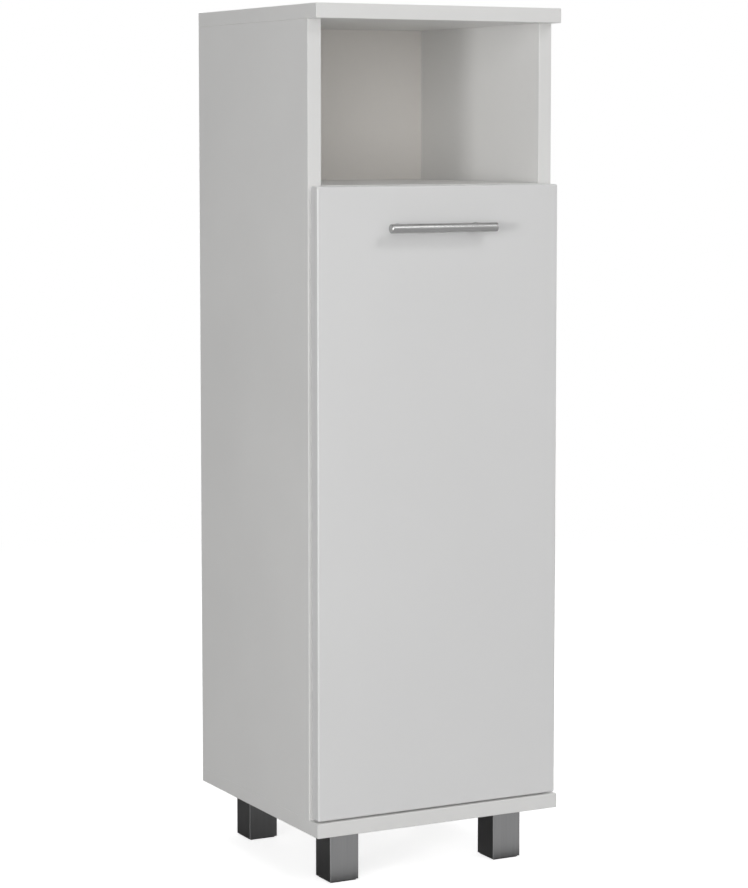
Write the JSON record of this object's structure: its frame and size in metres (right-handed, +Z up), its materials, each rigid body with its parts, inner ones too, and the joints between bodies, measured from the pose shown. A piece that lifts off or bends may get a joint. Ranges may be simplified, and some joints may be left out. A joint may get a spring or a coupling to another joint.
{
  "type": "bathroom laundry cabinet",
  "caption": "Slim white bathroom cabinet with an open niche, a bottom-hinged tilt-out front that carries a laundry bag, a bar handle and square metal legs.",
  "frame": {"origin": "on the floor, under the middle of the outline that includes the handle", "axes": "+Z up, +X to the right seen from the front, front and handle towards -Y"},
  "size_m": [0.3, 0.321, 0.95],
  "materials": {
    "white_board": "satin",
    "white_front": "satin",
    "back_board": "matte",
    "satin_steel": "satin",
    "leg_metal": "satin",
    "zinc_steel": "satin",
    "nickel_steel": "polished",
    "beech_dowel": "matte",
    "white_plastic": "satin",
    "black_plastic": "matte",
    "grey_plastic": "satin",
    "magnet": "matte",
    "clear_rubber": "satin",
    "bag_cloth": "matte"
  },
  "bodies": {
    "cabinet": {"top_board": "white_board", "bottom_board": "white_board", "left_side": "white_board", "right_side": "white_board", "niche_shelf": "white_board", "back_panel": "back_board", "connector_screws": "zinc_steel", "top_plugs": "white_plastic", "dowels": "beech_dowel", "shelf_cam_bolts": "zinc_steel", "shelf_cams": "zinc_steel", "leg_front_left": "leg_metal", "leg_front_right": "leg_metal", "leg_rear_left": "leg_metal", "leg_rear_right": "leg_metal", "leg_sockets": "grey_plastic", "leg_socket_screws": "zinc_steel", "leg_bolts": "zinc_steel", "leg_glides": "black_plastic", "hinge_arm_left": "nickel_steel", "hinge_arm_right": "nickel_steel", "hinge_arm_screws": "zinc_steel", "stay_guide_left": "white_plastic", "stay_guide_right": "white_plastic", "stay_guide_screws": "zinc_steel", "catch_housing": "white_plastic", "catch_magnet": "magnet", "catch_screws": "zinc_steel", "bumpers": "clear_rubber"},
    "tilt_front": {"front_panel": "white_front", "handle_bar": "satin_steel", "handle_posts": "satin_steel", "handle_screws": "zinc_steel", "hinge_cup_left": "nickel_steel", "hinge_cup_right": "nickel_steel", "hinge_pins": "zinc_steel", "hinge_cup_screws": "zinc_steel", "stay_left": "zinc_steel", "stay_right": "zinc_steel", "stay_screws": "zinc_steel", "bag_frame": "satin_steel", "frame_clips": "white_plastic", "frame_clip_screws": "zinc_steel", "laundry_bag": "bag_cloth", "strike_plate": "zinc_steel", "strike_screw": "zinc_steel"}
  },
  "joints": [
    {"name": "front_tilt", "type": "hinge", "parent": "cabinet", "child": "tilt_front", "pos_m": [0, -0.1315, 0.08561], "axis": [1, 0, 0], "range_deg": [0, 35]}
  ]
}
